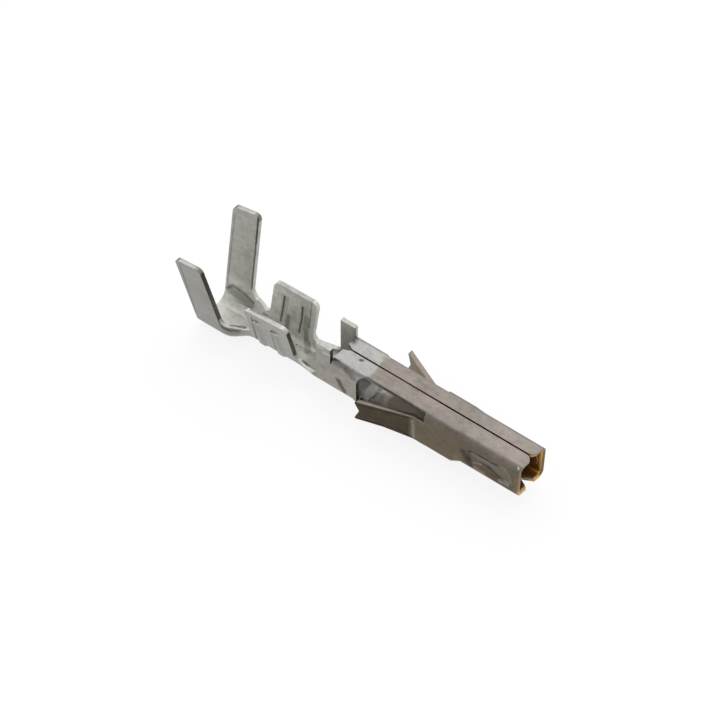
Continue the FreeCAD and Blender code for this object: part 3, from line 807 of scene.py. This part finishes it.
@dataclass
class SocketContact:
    """The folded contact: the frame's solid with softened edges and its finish."""

    finish: PlatedStrip = field(default_factory=PlatedStrip)
    weld: float = 0.0005 * MM
    flat_angle_deg: float = 0.4
    edge_angle_deg: float = 28.0
    edge_softening: float = 0.04 * MM
    softening_steps: int = 2
    cut_angle_deg: float = 50.0
    cut_width: float = 0.3 * MM
    least_cut_width: float = 0.07 * MM
    cut_share: float = 0.6
    box_rear: float = -12.1 * MM
    bore_half: float = 1.02 * MM
    channel_axis: float = 2.0 * MM
    mouth_depth: float = 0.3 * MM
    grooves_rear: float = -17.4 * MM
    grooves_front: float = -15.2 * MM
    upward_shade: float = 0.3
    ledge_slope: float = 0.2
    ledge_lean: float = 0.4
    groove_tilt: float = 0.5
    front_facing: float = 0.6
    side_facing: float = 0.7
    up_facing: float = 0.7
    # Rounds facing this far forward and near get painted shade.
    shade_round_forward: float = 0.2
    shade_round_near: float = 0.15

    def build(self) -> bpy.types.Object:
        """Make the dressed contact and let it stand for the frame's solid.

        Returns:
            The contact's object.
        """
        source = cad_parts[CONTACT_NODE]
        shape = bmesh.new()
        shape.from_mesh(source.data)
        bmesh.ops.remove_doubles(shape, verts=shape.verts, dist=self.weld)
        bmesh.ops.dissolve_limit(shape, angle_limit=math.radians(self.flat_angle_deg),
                                 verts=shape.verts, edges=shape.edges)
        self._mark_faces(shape)
        self._soften(shape)
        mesh = bpy.data.meshes.new("folded_strip")
        shape.to_mesh(mesh)
        shape.free()
        mesh.polygons.foreach_set("use_smooth", [True] * len(mesh.polygons))
        mesh.set_sharp_from_angle(angle=math.radians(self.cut_angle_deg))
        mesh.materials.append(self.finish.build())
        contact = bpy.data.objects.new("folded_strip", mesh)
        bpy.context.scene.collection.objects.link(contact)
        shading = contact.modifiers.new("flat_faces_stay_flat", "WEIGHTED_NORMAL")
        shading.keep_sharp = True
        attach(contact, ROOT_BODY)
        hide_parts(CONTACT_NODE)
        return contact

    def _mark_faces(self, shape: bmesh.types.BMesh) -> None:
        """Mark the narrow faces left by the cutting die, and those that line the hollows.

        Args:
            shape: The contact's mesh, with its flat faces whole.
        """
        cut_mark = shape.faces.layers.float.new(CUT_EDGE)
        shaded_mark = shape.faces.layers.float.new(SHADED_CUT)
        inner_mark = shape.faces.layers.float.new(INNER_FACE)
        for face in shape.faces:
            is_cut = self._is_cut(face)
            face[cut_mark] = float(is_cut)
            face[shaded_mark] = self._shade(face) if is_cut else 0.0
            face[inner_mark] = float(not is_cut and self._lines_hollow(face))

    def _is_cut(self, face: bmesh.types.BMFace) -> bool:
        """Whether a face is as narrow as the sheet and lies between sharp edges.

        Args:
            face: A face of the contact.

        Returns:
            True for a face that the cutting die left, but not for a pressed ledge.
        """
        sharp = math.radians(self.cut_angle_deg)
        around = sum(edge.calc_length() for edge in face.edges)
        cut = sum(edge.calc_length() for edge in face.edges
                  if edge.calc_face_angle(0.0) > sharp)
        width = 2 * face.calc_area() / around
        narrow = self.least_cut_width < width < self.cut_width
        middle = face.calc_center_median()
        leaning = (middle.x < self.box_rear and abs(face.normal.x) > self.ledge_slope
                   and abs(face.normal.y) > self.ledge_lean)
        pressed = self._among_grooves(middle) and face.normal.z < self.groove_tilt
        return narrow and cut > self.cut_share * around and not (leaning or pressed)

    def _shade(self, face: bmesh.types.BMFace) -> float:
        """How dark a cut face is, from 0 to 1.

        Args:
            face: A face that the cutting die left.

        Returns:
            1 for faces towards the mating end and under the flaps, little for the top ones.
        """
        middle = face.calc_center_median()
        near_front = face.normal.x > self.front_facing and middle.y < 0
        under_flap = abs(face.normal.y) > self.side_facing and middle.x > self.box_rear
        if (near_front or under_flap) and middle.x < -self.mouth_depth:
            return 1.0
        return self.upward_shade if face.normal.z > self.up_facing else 0.0

    def _lines_hollow(self, face: bmesh.types.BMFace) -> bool:
        """Whether a face looks into the box or the open barrels.

        Args:
            face: A face of the contact.

        Returns:
            True for a face on the sheet's inner side.
        """
        middle = face.calc_center_median()
        boxed = middle.x > self.box_rear
        centre = 0.0 if boxed else self.channel_axis
        inwards = face.normal.y * middle.y + face.normal.z * (middle.z - centre) < 0
        in_bore = max(abs(middle.y), abs(middle.z)) < self.bore_half
        return inwards and (in_bore or not boxed)

    def _among_grooves(self, place: Vector) -> bool:
        """Whether a place lies along the grooved stretch of the conductor barrel."""
        return self.grooves_rear < place.x < self.grooves_front

    def _soften(self, shape: bmesh.types.BMesh) -> None:
        """Round every sharp edge a little, and mark the rounds that face the mating end and
        the near side, for painted shade.

        Args:
            shape: The contact's mesh.
        """
        edge_shade_mark = shape.faces.layers.float.new(PAINTED_EDGE_SHADE)
        sharp = [edge for edge in shape.edges
                 if edge.calc_face_angle(0.0) > math.radians(self.edge_angle_deg)]
        rounds = bmesh.ops.bevel(shape, geom=sharp, offset=self.edge_softening,
                                 offset_type="OFFSET", segments=self.softening_steps,
                                 profile=0.5, affect="EDGES", clamp_overlap=True,
                                 material=-1)
        for face in rounds["faces"]:
            facing = (face.normal.x > self.shade_round_forward
                      and face.normal.y < -self.shade_round_near)
            grooved = self._among_grooves(face.calc_center_median())
            face[edge_shade_mark] = float(facing and not grooved)


@dataclass
class StudioFloor:
    """Plain white floor under the contact."""

    half_width: float = 0.5
    colour: Colour = (0.96, 0.96, 0.96)
    whiteness: float = 0.85

    def build(self) -> bpy.types.Object:
        """Lay the floor at the contact's lowest point.

        Returns:
            The floor's object.
        """
        shape = bmesh.new()
        bmesh.ops.create_grid(shape, x_segments=1, y_segments=1, size=self.half_width)
        level = CAD_BOUNDS[0][2]
        bmesh.ops.translate(shape, verts=shape.verts, vec=(0.0, 0.0, level))
        mesh = bpy.data.meshes.new("floor")
        shape.to_mesh(mesh)
        shape.free()
        floor = bpy.data.objects.new("floor", mesh)
        bpy.context.scene.collection.objects.link(floor)
        floor.data.materials.append(self._material())
        return floor

    def _material(self) -> bpy.types.Material:
        """Matt white that stays white behind the contact.

        Returns:
            The floor's material.
        """
        bench = ShaderBench(bpy.data.materials.new("floor_white"))
        matt = bench.node("ShaderNodeBsdfDiffuse", None, {"Color": self.colour})
        white = bench.node("ShaderNodeEmission", None, {
            "Color": WHITE, "Strength": 1.0})
        path = bench.node("ShaderNodeLightPath")
        seen = Signal(bench, path.outputs["Is Camera Ray"])
        for ray in ("Is Glossy Ray", "Is Transmission Ray"):
            seen = seen.larger(Signal(bench, path.outputs[ray]))
        blend = bench.node("ShaderNodeMixShader", None, {
            0: seen * self.whiteness, 1: matt.outputs[0], 2: white.outputs[0]})
        return bench.finish(blend.outputs[0])


@dataclass
class PhotoCamera:
    """Long-lens camera at the photograph's angle, fitted to the contact's own edges."""

    azimuth_deg: float = 38.7
    elevation_deg: float = 47.5
    pixels_per_mm: float = 19.8
    mouth_floor_pixel: tuple[float, float] = (531.9, 486.8)
    mouth_floor_mm: Point = (0.0, 0.0, -1.1)
    image_pixels: float = 720.0
    distance: float = 0.6
    sensor_mm: float = 36.0
    clip_start: float = 0.01

    def build(self) -> bpy.types.Object:
        """Create the camera and make it the scene's.

        Returns:
            The camera's object.
        """
        azimuth = math.radians(self.azimuth_deg)
        elevation = math.radians(self.elevation_deg)
        right = Vector((math.cos(azimuth), math.sin(azimuth), 0.0))
        back = Vector((math.sin(azimuth) * math.cos(elevation),
                       -math.cos(azimuth) * math.cos(elevation), math.sin(elevation)))
        up = back.cross(right)
        middle = self.image_pixels / 2
        shift_right = (middle - self.mouth_floor_pixel[0]) / self.pixels_per_mm * MM
        shift_up = (self.mouth_floor_pixel[1] - middle) / self.pixels_per_mm * MM
        target = Vector(self.mouth_floor_mm) * MM + right * shift_right + up * shift_up
        lower, upper = (Vector(corner) for corner in CAD_BOUNDS)
        target += back * ((lower + upper) / 2 - target).dot(back)

        lens = bpy.data.cameras.new("photo_camera")
        lens.sensor_width = self.sensor_mm
        frame_width = self.image_pixels / self.pixels_per_mm * MM
        lens.lens = self.sensor_mm * self.distance / frame_width
        lens.clip_start = self.clip_start
        camera = bpy.data.objects.new("photo_camera", lens)
        rotation = Matrix((right, up, back)).transposed().to_4x4()
        camera.matrix_world = Matrix.Translation(target + back * self.distance) @ rotation
        bpy.context.scene.collection.objects.link(camera)
        bpy.context.scene.camera = camera
        return camera


@dataclass
class StudioLight:
    """Soft light: a pale world and one large lamp."""

    front_strength: float = 0.75
    back_strength: float = 0.95
    dark_side: float = -0.5
    pale_side: float = 0.5
    height_share: float = 0.5
    key_radiance: float = 0.95
    key_place: Point = (-0.13, 0.16, 0.26)
    key_size: float = 0.4

    def build(self) -> None:
        """Set up the world and the lamp."""
        bench = ShaderBench(bpy.data.worlds.new("studio"), Output.WORLD)
        source = bench.node("ShaderNodeTexCoord")
        split = bench.node("ShaderNodeSeparateXYZ", None, {0: source.outputs["Generated"]})
        across = Signal(bench, split.outputs[Axis.ACROSS.value])
        up = Signal(bench, split.outputs[Axis.UP.value])
        behind = (across + up * self.height_share).ramp(self.dark_side, self.pale_side)
        strength = behind * (self.back_strength - self.front_strength) + self.front_strength
        background = bench.node("ShaderNodeBackground", None, {
            "Color": WHITE, "Strength": strength})
        bpy.context.scene.world = bench.finish(background.outputs[0])
        self._key_panel()

    def _key_panel(self) -> None:
        """Hang the square lamp so that it faces the contact with its set radiance."""
        lamp = bpy.data.lights.new("key_panel", "AREA")
        lamp.size = self.key_size
        lamp.energy = self.key_radiance * math.pi * self.key_size * self.key_size
        holder = bpy.data.objects.new("key_panel", lamp)
        holder.location = self.key_place
        holder.rotation_euler = Vector(self.key_place).to_track_quat("Z", "Y").to_euler()
        bpy.context.scene.collection.objects.link(holder)


def main() -> None:
    """Build and dress everything, logging each step."""
    logging.basicConfig(level=logging.INFO, format="%(name)s: %(message)s")
    bpy.context.scene.view_settings.view_transform = "Standard"
    contact = SocketContact().build()
    log.info("dressed %s", contact.name)
    floor = StudioFloor().build()
    log.info("laid %s", floor.name)
    StudioLight().build()
    log.info("lit the scene")
    camera = PhotoCamera().build()
    log.info("placed %s", camera.name)


if __name__ == "__main__":
    main()
